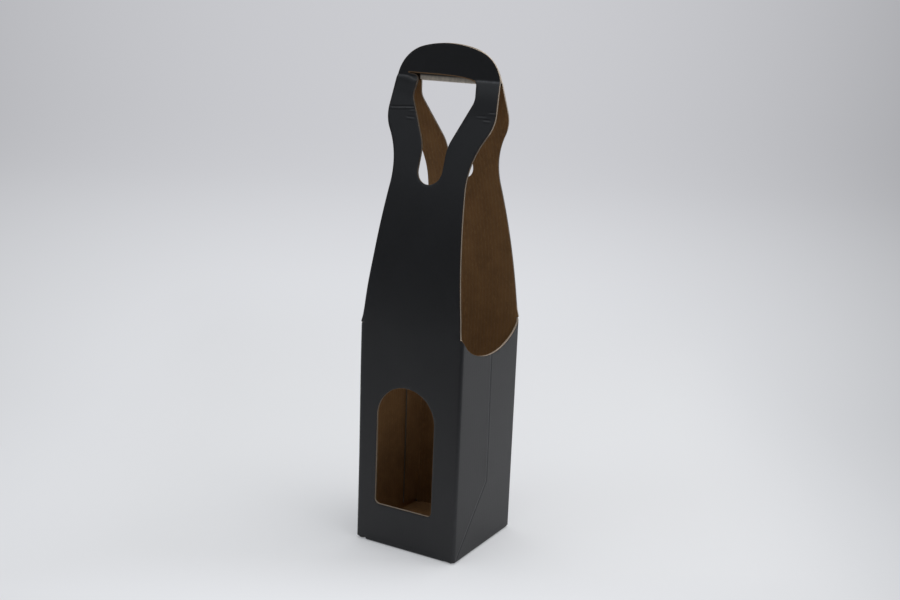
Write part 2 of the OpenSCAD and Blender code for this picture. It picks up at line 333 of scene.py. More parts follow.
def scoop_edge(half_y, depth):
    """Elevation of the scoop in a side wall, from y = 0 out to y = half_y.

    A flat arc in the middle turns into a tighter one, whose radius is the one that
    brings it to the shoulder at the corner: |reach|^2 / (2 reach . inward).
    """
    mid_r = SCOOP_FLATNESS * BODY_D
    turn = 1j * mid_r + mid_r * np.exp(1j * (SCOOP_TURN - QUARTER))
    down = np.exp(1j * (SCOOP_TURN - QUARTER))
    reach = complex(SCOOP_END_Y, depth) - turn
    end_r = -abs(reach) ** 2 / (2 * (reach * down.conjugate()).real)
    end_c = turn - end_r * down
    stop = math.acos((half_y - end_c.real) / end_r)
    line = np.concatenate([
        arc_points(1j * mid_r, mid_r, -QUARTER, SCOOP_TURN - QUARTER),
        arc_points(end_c, end_r, SCOOP_TURN - QUARTER, -stop)[1:],
    ])
    return line + 1j * (SHOULDER_Z - depth)


def wall_s(y):
    """Distance along the blank from the middle of a side wall, also round its corner folds."""
    over = np.clip((np.abs(y) - FLAT_Y) / FOLD_R, 0, 1)
    return np.sign(y) * (np.minimum(np.abs(y), FLAT_Y) + FOLD_R * np.arcsin(over))


def on_panel(line, path, middle, flip=1):
    """Carries an elevation x + i z of a tall panel to the blank."""
    return middle + flip * line.real + 1j * height_to_blank(path, line.imag)


def flap_line(middle, half, low, taper, corner, left_z, right_z):
    """Cut line of a base flap, from left to right, with its two ends in the wall's lower edge.

    Its sides run down from the fold and draw in by the taper, and quarter arcs of the
    corner radius join them to the straight lower edge.
    """
    low_half, turn_v, top_v = half - taper, low + corner, FOLD_R - 0.5
    left, right = middle - low_half + corner, middle + low_half - corner
    return np.concatenate([
        [middle - half - FLAP_GAP + 1j * left_z, middle - half + 1j * max(FOLD_R, left_z)],
        spread([middle - half + FLAP_GAP / 2 + 1j * top_v, middle - low_half + 1j * turn_v]),
        arc_points(left + 1j * turn_v, corner, math.pi, 1.5 * math.pi)[1:],
        spread([left + 1j * low, right + 1j * low])[1:-1],
        arc_points(right + 1j * turn_v, corner, -QUARTER, 0.0),
        spread([middle + low_half + 1j * turn_v, middle + half - FLAP_GAP / 2 + 1j * top_v])[1:],
        [middle + half + 1j * max(FOLD_R, right_z), middle + half + FLAP_GAP + 1j * right_z],
    ])


def blank_outline(scoop_depth):
    """The outer cut line of the blank, counter-clockwise, as complex s + i v."""
    wall_low = FOLD_R - ARC - BASE_FLAP
    edge = panel_edge(EAR_FREE, CORNER_R)
    close_edge = panel_edge(EAR_CLOSE, CLOSE_CORNER_R)
    scoop = scoop_edge(SCOOP_END_Y, scoop_depth)
    scoop = np.concatenate([-scoop[::-1].conj(), scoop[1:]])
    raw = scoop_edge(LEFT_END, scoop_depth)
    left_end = S_LEFT - LEFT_END
    seam_out = S_SEAM + ARC + SEAM_W
    seam = [S_SEAM + 0j, S_SEAM + 0.9 * ARC + 0j, S_SEAM + ARC + 1j * SEAM_LOW,
            seam_out + 1j * (SEAM_LOW + 3),
            seam_out + 1j * (SHOULDER_Z - SCOOP_DEPTH - 4 * BOARD),
            S_SEAM + ARC + 1j * SEAM_HIGH, S_SEAM + 1j * SEAM_HIGH, S_SEAM + 1j * SHOULDER_Z]
    back = on_panel(edge, BACK, S_BACK)
    back[0] = S_SEAM + 1j * SHOULDER_Z
    line = np.concatenate([
        [left_end + 0j],
        flap_line(S_LEFT, SIDE_HALF, SIDE_END, SIDE_TAPER, 5.0, 0.0, NICK_TIP),
        [-FLAT_X + 1j * NICK_Z],
        flap_line(0.0, BASE_HALF, wall_low, 1.0, 3.0, NICK_Z, CORNER_LOW),
        [FLAT_X + 1j * CORNER_LOW],
        flap_line(S_RIGHT, SIDE_HALF, SIDE_END, SIDE_TAPER, 5.0, CORNER_TIP, BACK_NICK_Z),
        flap_line(S_BACK, BASE_HALF, wall_low, 1.0, 3.0, BACK_NICK_Z, 0.0),
        spread(seam)[:-1],
        back, on_panel(-edge.conj(), BACK, S_BACK)[::-1][1:],
        (S_RIGHT + wall_s(scoop.real) + 1j * scoop.imag)[::-1],
        on_panel(close_edge, FRONT, 0.0), on_panel(-edge.conj(), FRONT, 0.0)[::-1][1:],
        (S_LEFT + wall_s(scoop.real) + 1j * scoop.imag)[::-1][:len(scoop) // 2],
        S_LEFT - raw.real + 1j * raw.imag,
        spread([left_end + 1j * raw.imag[-1], left_end + 0j])[1:-1],
    ])
    return line[np.abs(line - np.roll(line, 1)) > 1e-4]


def window_line(centre_x, low_z, half, side, corner):
    """Cut line of the window: upright sides, round lower corners and a half round arch."""
    mid = complex(centre_x, low_z)
    sill = half - corner
    line = np.concatenate([
        arc_points(mid + 1j * side, half, 0, math.pi),
        spread([mid + complex(-half, side), mid + complex(-half, corner)])[1:-1],
        arc_points(mid + complex(-sill, corner), corner, math.pi, 1.5 * math.pi, 0.8),
        spread([mid - sill, mid + sill])[1:-1],
        arc_points(mid + complex(sill, corner), corner, -QUARTER, 0, 0.8),
        spread([mid + complex(half, corner), mid + complex(half, side)])[1:-1],
    ])
    return on_panel(line, FRONT, 0.0)


def front_grip_line(slit):
    """Cut line of the front hand opening, with the relief slit to the left of its upper edge."""
    edge = grip_edge()[:-1]
    top = spread(LIP_TOP + [SLIT_HIGH - slit])
    low = spread([SLIT_LOW - slit, SLIT_ROOT])
    left = np.concatenate([-edge.conj(), LIP_LEFT])
    return on_panel(np.concatenate([edge, LIP_RIGHT, top, low, left[::-1][:-1]]), FRONT, 0.0)


def back_grip_line():
    """Cut line of the back hand opening round its flap, which hangs into it on the blank."""
    half = GRIP_TOP.real - 0.4
    low = FLAP_V - FLAP_LEN
    side = np.append(on_panel(grip_edge(), BACK, 0.0), complex(GRIP_TOP.real, FLAP_V))
    c = complex(half - FLAP_CORNER_R, low + FLAP_CORNER_R)
    flap = np.concatenate([
        spread([complex(half, FLAP_V), complex(half, c.imag)]),
        arc_points(c, FLAP_CORNER_R, 0, -QUARTER)[1:],
        spread([complex(c.real, low), complex(-c.real, low)])[1:-1],
        arc_points(-c.conjugate(), FLAP_CORNER_R, -QUARTER, -math.pi),
        spread([complex(-half, c.imag), complex(-half, FLAP_V)])[1:],
    ])
    return S_BACK + np.concatenate([side, flap, -side.conj()[::-1][:-1]])


# ---------------------------------------------------------------- folding

GRIP_BLANK = on_panel(grip_edge(), BACK, 0.0)


def on_grip_flap(s, v):
    """True for the points of the blank on the flap of the back hand opening."""
    half = np.interp(v, GRIP_BLANK.imag, GRIP_BLANK.real)
    near = np.abs(s - S_BACK) < half - 0.15
    return (v < FLAP_V - 1e-6) & (v > FLAP_V - FLAP_LEN - 1) & near


def fold(s, v, depth):
    """Carries points of the blank, depth below its outer face, to their place in space.

    Walls follow the plan track at height v. The tall panels above the shoulder and
    the base flaps below the base fold follow their own elevation tracks. The left
    wall then moves out by the splay, which rises and falls with height.
    """
    plan = along(PLAN, s, depth, 1)
    x, y, z = plan.real.copy(), plan.imag.copy(), v.astype(float).copy()
    high = v > SHOULDER_Z + 1e-3
    for path, middle, sign, left, right in ((FRONT, 0.0, 1, -FLAT_X, FLAT_X),
                                            (BACK, S_BACK, -1, -FLAT_X, SEAM_X)):
        t = s - middle
        wall = (t >= left - 1e-6) & (t <= right + 1e-6)
        here = wall | (high & (np.abs(t) < PANEL_REACH))
        here &= (v >= FOLD_R) | (np.abs(t) < BASE_HALF + FLAP_GAP)
        p = along(path, v[here], depth[here], -1)
        x[here] = sign * t[here]
        y[here] = sign * (p.real - BODY_D / 2)
        z[here] = p.imag
    for middle, sign in ((S_RIGHT, 1), (S_LEFT, -1)):
        t = s - middle
        reach = SIDE_HALF + FLAP_GAP + (v < 0) * abs(SIDE_TAPER)
        here = (np.abs(t) < reach) & (v < FOLD_R)
        p = along(SIDE, v[here], depth[here], -1)
        x[here] = sign * (BODY_W / 2 - p.real)
        y[here] = sign * t[here]
        z[here] = p.imag
    here = on_grip_flap(s, v)
    p = along(GRIP_FLAP, FLAP_V - v[here], depth[here], 1)
    x[here] = -(s[here] - S_BACK)
    y[here] = BODY_D / 2 - p.real
    z[here] = p.imag
    x -= SPLAY * smooth(*SPLAY_START, z) * (1 - smooth(*SPLAY_END, z)) * smooth(*SPLAY_SIDE, -x)
    return np.stack([x, y, z], axis=1)


def smooth(edge0, edge1, t):
    """Zero below edge0, one above edge1, and t^2 (3 - 2 t) between."""
    t = np.clip((t - edge0) / (edge1 - edge0), 0, 1)
    return t * t * (3 - 2 * t)


def bell(t, width):
    """One at t = 0, falling off to nothing over a few widths: exp(-(t / width)^2)."""
    return np.exp(-(t / width) ** 2)


# ---------------------------------------------------------------- relief

# Dents across the front legs, as (s, v, half length, slope, height): each is a low
# ridge with a furrow above it
LEG_DENTS = ((-36.0, 364.2, 10.5, 0.07, 0.36), (-26.4, 362.6, 2.6, 0.1, 0.18),
             (-26.8, 356.4, 3.4, 0.0, 0.22), (45.4, 365.4, 2.6, 0.05, 0.2),
             (41.6, 359.2, 2.8, 0.0, 0.22), (36.4, 362.0, 4.0, 0.02, 0.12))
# Ledge at a crease: its height, lower on the right front leg by the drop, and how far
# it reaches below and above. On the left front leg it dips on the inner side
LEDGE = 0.6
LEDGE_DROP = 0.25
LEDGE_BELOW = 3.6
LEDGE_ABOVE = 0.9
LEDGE_DIP = 3.4
LEDGE_DIP_SPAN = (-40, -26)
# The front legs swell below the crease: height and span on the left one, and what the
# right one has more
SWELL = 0.35
SWELL_SPAN = 16
SWELL_MORE = 0.75
SWELL_SPAN_MORE = 14
# Depth of the slow wave in the tall panels
SAG = 0.4


def side_place(s, v):
    """Place y on the nearer side wall, and the y of its score line at that height.

    The score runs up the middle of the wall. Below its turn it slants to the front
    corner, and the sign of y makes the front the negative side on both walls.
    """
    right = np.abs(s - S_RIGHT) < np.abs(s - S_LEFT)
    y = np.where(right, s - S_RIGHT, S_LEFT - s)
    ridge = -FLAT_Y * np.clip((SCORE_Z - v) / (SCORE_Z - FOLD_R), 0, 0.96)
    return y, ridge


def score_distance(s, v):
    """Distance from the score line of the nearer side wall."""
    y, ridge = side_place(s, v)
    run = math.hypot(FLAT_Y, SCORE_Z - FOLD_R)
    lean = np.where(v < SCORE_Z, (SCORE_Z - FOLD_R) / run, 1.0)
    near = np.abs(y - ridge) * lean
    return np.where((v > FOLD_R) & (np.abs(y) < FLAT_Y - 0.6), near, 9.0)


def belly(s, v, height):
    """Side walls stand out in flat facets that meet at the score line, highest where it turns."""
    y, ridge = side_place(s, v)
    facet = np.where(y < ridge, (y + FLAT_Y) / (ridge + FLAT_Y), (FLAT_Y - y) / (FLAT_Y - ridge))
    level = np.clip((v - FOLD_R) / (SCORE_Z - FOLD_R), 0, 1)
    level = level * (1 - smooth(SCORE_Z + 10, SHOULDER_Z, v))
    return np.where(np.abs(y) < FLAT_Y, height * level * np.clip(facet, 0, 1), 0.0)


def relief(s, v, belly_height, score_depth):
    """How far the outer and the inner face stand out from the folded sheet.

    Both faces follow the belly, a slow wave in the tall panels, a ledge at the crease,
    the swelling 6.75 u (1 - u)^2 of the front legs below it, with u from 0 at the crease
    to 1 at the end of the span, and the dents. The score line is pressed into the outer
    face alone.
    """
    out = belly(s, v, belly_height)
    for middle, crease in ((0.0, FRONT_C0), (S_BACK, BACK_C0)):
        t = s - middle
        front = middle == 0
        right = 1.0 * (front & (t > 0))
        panel = (np.abs(t) < PANEL_REACH) & ((np.abs(t) < FLAT_X) | (v > SHOULDER_Z))
        sag = smooth(0, 30, FLAT_X - np.abs(t)) * smooth(FOLD_R, 50, v)
        sag = sag * smooth(0, 60, crease - v)
        wave = 0.5 + 0.25 * np.sin(t / 17 + v / 41) + 0.25 * np.sin(t / 29 - v / 23 + 1.3)
        top = crease - LEDGE_DIP * smooth(*LEDGE_DIP_SPAN, s) * (front & (s < 0))
        width = np.where(v < top, LEDGE_BELOW, LEDGE_ABOVE)
        ledge = (LEDGE - LEDGE_DROP * right) * bell(v - top, width)
        u = np.clip((top - v) / (SWELL_SPAN + SWELL_SPAN_MORE * right), 0, 1)
        ledge = ledge + front * (SWELL + SWELL_MORE * right) * 6.75 * u * (1 - u) ** 2
        out = out + np.where(panel, ledge - SAG * sag * wave, 0.0)
    for s0, v0, half, slope, height in LEG_DENTS:
        up = v - v0 - slope * (s - s0)
        ends = smooth(half + 1.5, half - 1.5, np.abs(s - s0))
        out = out + height * ends * (bell(up, 0.7) - 0.8 * bell(up - 1.3, 0.6))
    near = score_distance(s, v)
    return out - score_depth * (bell(near, 0.7) - 0.1 * bell(near - 2.0, 0.9)), out


def fold_wear_and_highlight(s, v):
    """How strongly the print is greyed along the folds: partly wear, partly painted highlight.

    It is a bell across each fold, scored line, crease and dent, and the largest counts.
    At the crease and on the dent ridges it is a painted highlight; the right front leg
    shows it most, and the lip of the opening not at all.
    """
    close = 0.5 * bell(score_distance(s, v), 1.0)
    for start in (-FLAT_X - ARC, FLAT_X, S_RIGHT + FLAT_Y, S_SEAM):
        off = np.abs(s - start - ARC / 2)
        close = np.maximum(close, 0.2 * bell(off, 2.0) * (v < SHOULDER_Z))
    close = np.maximum(close, 0.3 * bell(v - FOLD_R + ARC / 2, 1.5))
    front_share = (s < -36) + 2.2 * (s > 27)
    for middle, crease, share in ((0.0, FRONT_C0, front_share), (S_BACK, BACK_C0, 1.0)):
        share = share * (np.abs(s - middle) < PANEL_REACH)
        close = np.maximum(close, bell(v - crease - 0.4, 0.9) * share)
    for s0, v0, half, slope, height in LEG_DENTS:
        ridge = bell(v - v0 - slope * (s - s0), 0.8) * smooth(half + 1, half - 1, np.abs(s - s0))
        close = np.maximum(close, 1.6 * height * ridge)
    return close


def fold_stretch_and_sheen(s, v):
    """One on the tight fold of the grip flap, where the print has stretched most and a painted
    sheen brightens it.
    """
    return 1.0 * (on_grip_flap(s, v) & (v > FLAP_V - math.pi * FLAP_R - 2))


def painted_shade_between_heads(s, v):
    """One on the liner of the back head from the grip up, where painted shade between the heads
    darkens it.
    """
    return smooth(FLAP_V - 2.3, FLAP_V - 1.2, v) * (np.abs(s - S_BACK) < PANEL_REACH)


def edge_tone(s, v):
    """How pale the raw edge is, as a sum of a gain for each stretch of the cuts.

    This is painted light and shade. Painted shade darkens it along the left front leg, at
    the shoulder and under the base. Painted light makes it pale at the window, the scoop,
    the heads and, fading as it rises, along the right edge of the front panel.
    """
    panel = np.abs(s) < PANEL_REACH
    stretches = (
        (-0.5, smooth(-40, -36, s) * smooth(-6, -10, s) * (v < LIP_V + 3) * (v > SHOULDER_Z + 8)),
        (-0.5, (v > SHOULDER_Z - 1) & (v < SHOULDER_Z + 8) & (np.abs(s + 26) < 26)),
        (1.6, smooth(FLAP_V - 12, FLAP_V, v) * (np.abs(s - S_BACK) < PANEL_REACH)),
        (0.6, (np.abs(s) < 36) & (v < SHOULDER_Z - 20)),
        (1.2, (np.abs(s - S_RIGHT) < FLAT_Y + ARC) & (v > SHOULDER_Z - SCOOP_DEPTH - 4)),
        (0.5, (s > 30) * panel * (v > SHOULDER_Z - 1) * smooth(345, 290, v)),
        (2.0, panel * smooth(FRONT_C0, FRONT_C0 + 12, v)),
        (-0.6, v < FOLD_R + 0.5),
    )
    return 1 + sum(gain * place for gain, place in stretches)


# ---------------------------------------------------------------- mesh

def inside(points, loops):
    """Even-odd test of complex points against closed loops, as whole arrays."""
    hit = np.zeros(len(points), bool)
    for loop in loops:
        a, b = loop, np.roll(loop, -1)
        for i in range(0, len(points), 4000):
            p = points[i:i + 4000, None]
            across = (a.imag > p.imag) != (b.imag > p.imag)
            slope = np.where(a.imag == b.imag, 1.0, b.imag - a.imag)
            cut = a.real + (p.imag - a.imag) * (b.real - a.real) / slope
            hit[i:i + 4000] ^= (across & (p.real < cut)).sum(axis=1) % 2 == 1
    return hit


def cut_distance(points, loops):
    """Distance of complex points from the nearest segment of the loops."""
    nearest = np.full(len(points), np.inf)
    for loop in loops:
        a, run = loop, np.roll(loop, -1) - loop
        for i in range(0, len(points), 4000):
            rel = points[i:i + 4000, None] - a
            t = np.clip((rel * run.conj()).real / np.abs(run) ** 2, 0, 1)
            nearest[i:i + 4000] = np.minimum(nearest[i:i + 4000], np.abs(rel - t * run).min(axis=1))
    return nearest


def bevel_points(loops, gap):
    """Points at one gap inside every cut line: each point of it moved square to the line."""
    moved = []
    for loop in loops:
        ahead = np.roll(loop, -1) - np.roll(loop, 1)
        moved += [loop + side * gap * 1j * ahead / np.abs(ahead) for side in (1, -1)]
    moved = np.concatenate(moved)
    moved = moved[inside(moved, loops)]
    return moved[cut_distance(moved, loops) > 0.8 * gap]


def spaced(parts, gap):
    """The numbers of all parts in order, less those no further than the gap past the last."""
    line = np.unique(np.round(np.concatenate(parts), 3))
    return line[np.concatenate([[True], np.diff(line) > gap])]


def grid_points(pitch):
    """Points over the blank: an even grid, with closer lines at its folds, scores and dents.

    The grid of the walls is the columns times the rows. Lines along the slanted score
    replace it there, and each tall panel and each dent has a grid of its own.
    """
    turn = np.linspace(0, ARC, 9)
    flats = [(S_LEFT - LEFT_END, -FLAT_X - ARC), (-FLAT_X, FLAT_X),
             (FLAT_X + ARC, S_RIGHT + FLAT_Y), (S_BACK - FLAT_X, S_SEAM),
             (S_SEAM + ARC, S_SEAM + ARC + SEAM_W)]
    folds = [-FLAT_X - ARC, FLAT_X, S_RIGHT + FLAT_Y, S_SEAM]
    fine = np.array([-3, -2.2, -1.5, -0.9, -0.45, 0, 0.45, 0.9, 1.5, 2.2, 3])
    cols = [np.linspace(a, b, max(3, int((b - a) / pitch))) for a, b in flats]
    cols += [f + turn for f in folds] + [S_RIGHT + fine, S_LEFT + fine]
    cols = spaced(cols, 0.2)
    rows = spaced([np.arange(FOLD_R + pitch, SHOULDER_Z, pitch), [SHOULDER_Z, BOW_Z],
                   FOLD_R - turn, np.arange(FOLD_R - ARC - pitch, SIDE_END - 20, -pitch)], 0)
    lower = (cols[None, :] + 1j * rows[:, None]).ravel()
    near = score_distance(lower.real, lower.imag)
    parts = [lower[(near > 3.3) | (lower.imag > SCORE_Z - 1)]]
    slant = complex(-FLAT_Y, FOLD_R - SCORE_Z)
    t = np.linspace(0, 1, 60)[1:-1] * slant
    lines = (1j * SCORE_Z + t[:, None] + (1j * slant / abs(slant)) * fine[None, :]).ravel()
    parts += [S_RIGHT + lines, S_LEFT - lines.conj()]
    for middle, c0, c1 in ((0.0, FRONT_C0, FRONT_C1), (S_BACK, BACK_C0, BACK_C1)):
        up = [np.arange(SHOULDER_Z + pitch, c0 - 7, pitch), np.arange(c0 - 6.5, c0 - 1.5, 0.7),
              np.arange(c0 - 1.2, c1 + 2, 0.35), np.arange(c1 + 2.5, c1 + 34, pitch)]
        if middle:
            up.append(FLAP_V - np.linspace(0, math.pi * FLAP_R, 11))
        up = spaced(up, 0.25)
        across = np.arange(-50, 50.1, pitch) + middle
        parts.append((across[None, :] + 1j * up[:, None]).ravel())
    for s0, v0, half, slope, _ in LEG_DENTS:
        x = np.arange(-half - 2, half + 2.1, 1.0)
        y = np.arange(-2.1, 3.3, 0.45)
        parts.append((s0 + x[None, :] + 1j * (v0 + slope * x[None, :] + y[:, None])).ravel())
    return np.concatenate(parts)


def thinned(points, gap):
    """The points without those that share a square of the given side with an earlier one."""
    keys = np.round(points.real / gap) + 1e5 * np.round(points.imag / gap)
    return points[np.sort(np.unique(keys, return_index=True)[1])]


def smooth_mesh(name, points, faces):
    """Mesh with smooth faces, from an array of points and a list of faces."""
    mesh = bpy.data.meshes.new(name)
    mesh.from_pydata(points.tolist(), [], faces)
    mesh.polygons.foreach_set("use_smooth", np.ones(len(faces), bool))
    return mesh


def hold(mesh, name, values):
    """Gives every point of the mesh one number, or three, as an attribute."""
    kind, field = ("FLOAT", "value") if values.ndim == 1 else ("FLOAT_VECTOR", "vector")
    layer = mesh.attributes.new(name, kind, "POINT")
    layer.data.foreach_set(field, values.astype(np.float32).ravel())


def board_mesh(name, loops, points, kit):
    """Cuts the blank along its loops, folds it and closes it with the raw edges of the board.

    The mesh has the outer face, the inner face one board thickness below it, and a
    strip between them along every cut. The cut rounds the outer face over by a
    little: its depth there is the edge rounding times (1 - distance / bevel).

    The attribute "sheet" holds s, v and the depth. The next holds the distance from the
    nearest cut, less on the lip of the front opening and more under the base, then the
    closeness to a fold, which also paints highlights at creases and dents, then the print's
    stretch with a painted sheen outside and painted shade between the heads inside. The
    last scales the colour of the raw edge, as painted light and shade.
    """
    flat = np.concatenate([*loops, points])
    counts = [len(loop) for loop in loops]
    rings = np.split(np.arange(sum(counts)), np.cumsum(counts)[:-1])
    edges = np.concatenate([np.stack([ring, np.roll(ring, -1)], axis=1) for ring in rings])
    corners = list(map(Vector, np.stack([flat.real, flat.imag], axis=1).tolist()))
    coords, _, faces, *_ = delaunay_2d_cdt(corners, edges.tolist(), [], 0, 1e-5)
    flat = np.array(coords) @ np.array([1, 1j])
    tris = np.array(faces)
    tris = tris[inside(flat[tris].mean(axis=1), loops)]
    used, tris = np.unique(tris, return_inverse=True)
    tris = tris.reshape(-1, 3)
    flat = flat[used]
    s, v = flat.real, flat.imag
    span = flat[tris]
    turn = ((span[:, 1] - span[:, 0]).conj() * (span[:, 2] - span[:, 0])).imag
    tris = np.where((turn > 0)[:, None], tris, tris[:, ::-1])
    cut = cut_distance(flat, loops)
    bevel = EDGE_ROUNDING * np.clip(1 - cut / BEVEL, 0, 1)
    out, out_inner = relief(s, v, kit.belly / MM, kit.score_depth / MM)
    outer = fold(s, v, bevel - out)
    inner = fold(s, v, BOARD - out_inner)
    directed = np.concatenate([tris[:, [0, 1]], tris[:, [1, 2]], tris[:, [2, 0]]])
    keys = directed.min(axis=1) * len(flat) + directed.max(axis=1)
    _, index, count = np.unique(keys, return_index=True, return_counts=True)
    rims = directed[index[count == 1]]
    n = len(flat)
    quads = np.stack([rims[:, 1], rims[:, 0], rims[:, 0] + n, rims[:, 1] + n], axis=1)
    mesh = smooth_mesh(name, np.concatenate([outer, inner]) * MM,
                       tris.tolist() + (tris[:, ::-1] + n).tolist() + quads.tolist())
    kinds = np.repeat([0, 1, 2], [len(tris), len(tris), len(quads)])
    mesh.polygons.foreach_set("material_index", kinds.astype(np.int32))
    place = np.stack([np.tile(s, 2), np.tile(v, 2), np.repeat([0.0, BOARD], n)], axis=1)
    lip = (np.abs(s) < 37) & (v > np.where(s < -26, LIP_V + 3.2, LIP_V)) & (v < FRONT_C1 + 6)
    cut = np.minimum(cut, 8) - 0.7 * lip + 1.0 * (v < FOLD_R + 0.5)
    close = fold_wear_and_highlight(s, v)
    # Cut, fold with painted highlights, then stretch with painted sheen outside, painted shade
    # between the heads inside
    wear = np.concatenate([np.stack([cut, close, third], axis=1)
                           for third in (fold_stretch_and_sheen(s, v), painted_shade_between_heads(s, v))])
    hold(mesh, "sheet", place)
    hold(mesh, "wear", wear)
    hold(mesh, "edge_tone", np.tile(edge_tone(s, v), 2))
    mesh.validate()
    mesh.update()
    mesh.set_sharp_from_angle(angle=math.radians(40))
    return mesh


# ---------------------------------------------------------------- materials

class Nodes:
    """Short hand for a material's node tree. Lengths in it are millimetres on the sheet."""

    def __init__(self, name):
        self.material = bpy.data.materials.new(name)
        self.material.use_nodes = True
        self.tree = self.material.node_tree
        self.shader = self.tree.nodes["Principled BSDF"]

    def feed(self, socket, value):
        """Links a socket to another, or sets it to a constant."""
        if isinstance(value, bpy.types.NodeSocket):
            self.tree.links.new(value, socket)
        else:
            socket.default_value = value

    def node(self, kind, inputs=(), **values):
        """Adds a node, sets its properties and feeds its first inputs in order."""
        node = self.tree.nodes.new(kind)
        for key, value in values.items():
            setattr(node, key, value)
        for socket, value in zip(node.inputs, inputs):
            if value is not None:
                self.feed(socket, value)
        return node

    def math(self, operation, *inputs):
        """One step of arithmetic on sockets and constants."""
        return self.node("ShaderNodeMath", inputs, operation=operation).outputs[0]

    def times(self, first, second):
        """The product of two sockets or constants."""
        return self.math("MULTIPLY", first, second)

    def ramp(self, value, low, high):
        """Smooth step from 0 at low to 1 at high. Low may be the larger of the two."""
        node = self.node("ShaderNodeMapRange", (value, low, high, 0.0, 1.0),
                         interpolation_type="SMOOTHSTEP")
        return node.outputs["Result"]

    def noise(self, place, scale, detail, stretch=(1, 1, 1)):
        """Cloudy noise between 0 and 1; a stretch below 1 draws it out along that axis."""
        moved = self.node("ShaderNodeVectorMath", (place, stretch), operation="MULTIPLY").outputs[0]
        node = self.node("ShaderNodeTexNoise", (moved,))
        node.inputs["Scale"].default_value = scale
        node.inputs["Detail"].default_value = detail
        return node.outputs["Fac"]

    def mix(self, factor, first, second, blend="MIX"):
        """The first colour at factor 0 and the second at 1."""
        node = self.node("ShaderNodeMix", data_type="RGBA", blend_type=blend)
        for key, value in ((0, factor), (6, first), (7, second)):
            self.feed(node.inputs[key], value)
        return node.outputs[2]

    def mottle(self, value, rgb, depth, low=0.3):
        """The colour darker by the depth where the value is low, and paler where it is high."""
        dark, pale = colour(rgb, 1 - depth), colour(rgb, 1 + depth)
        return self.mix(self.ramp(value, low, 1 - low), dark, pale)

    def attribute(self, name):
        """Three numbers that the mesh holds at each point."""
        return self.node("ShaderNodeAttribute", attribute_name=name).outputs["Vector"]

    def split(self, vector):
        """The three numbers of a vector as sockets."""
        return self.node("ShaderNodeSeparateXYZ", (vector,)).outputs

    def finish(self, colour, roughness, height, specular):
        """Feeds the shader. The height map is in millimetres."""
        bump = self.node("ShaderNodeBump")
        bump.inputs["Distance"].default_value = MM
        self.feed(bump.inputs["Height"], height)
        self.feed(self.shader.inputs["Normal"], bump.outputs[0])
        self.feed(self.shader.inputs["Base Color"], colour)
        self.feed(self.shader.inputs["Roughness"], roughness)
        self.shader.inputs["Specular IOR Level"].default_value = specular
        return self.material


def colour(rgb, scale=1.0):
    """The colour times the scale, with an alpha of one."""
    return (*(scale * c for c in rgb), 1)


def flute_wave(n, s, pitch):
    """Wave of the corrugated medium across the flutes: sin(2 pi s / pitch)."""
    return n.math("SINE", n.times(s, 2 * math.pi / pitch))


def outside_material(kit):
    """Matt black print: cloudy tone, fibre grain, faint flutes, grey folds that are partly wear and
    partly painted highlight, and bare cuts.
    """
    n = Nodes("board_outside")
    place, wear = n.attribute("sheet"), n.split(n.attribute("wear"))
    s = n.split(place)[0]
    cloud = n.noise(place, 0.05, 3, (1, 0.6, 1))
    fibre = n.noise(place, 1.5, 4, (1, 0.35, 1))
    grain = n.noise(place, 5.0, 2)
    tone = n.mottle(cloud, kit.outside, 0.14)
    tone = n.mix(n.ramp(fibre, 0.35, 0.75), tone, colour(kit.outside, 1.35))
    specks = n.ramp(n.noise(place, 1.3, 2), 0.74, 0.8)
    tone = n.mix(n.times(specks, 0.35), tone, colour(kit.folded))
    # Folded board stretches its print to a dull grey, in broken streaks; at creases and dents the
    # grey is also a painted highlight
    broken = n.ramp(n.noise(place, 0.35, 4, (1, 0.5, 1)), 0.25, 0.75)
    strength = n.times(n.math("MULTIPLY_ADD", broken, 0.5, 0.35), wear[1])
    strength = n.math("MINIMUM", n.times(strength, 0.45), 1.0)
    tone = n.mix(strength, tone, colour(kit.folded))
    # On the tightest fold the pale board shows through, brightened further by a painted sheen
    stretched = n.times(wear[2], n.math("MULTIPLY_ADD", broken, 0.3, 0.7))
    tone = n.mix(stretched, tone, colour(kit.edge, 2.9))
    # The die leaves bare board along the cuts, wider in some places
    ragged = n.math("MULTIPLY_ADD", n.noise(place, 0.6, 3), 0.5, -0.1)
    bare = n.ramp(n.math("SUBTRACT", wear[0], ragged), 0.06, -0.06)
    tone = n.mix(n.times(bare, 0.65), tone, colour(kit.inside, 1.2))
    roughness = n.math("MULTIPLY_ADD", fibre, 0.14, 0.40)
    roughness = n.math("ADD", roughness, n.times(bare, 0.2))
    wave = flute_wave(n, s, kit.flute_pitch / MM)
    height = n.math("MULTIPLY_ADD", wave, 0.006, n.times(fibre, 0.03))
    height = n.math("MULTIPLY_ADD", grain, 0.012, height)
    return n.finish(tone, roughness, height, 0.5)


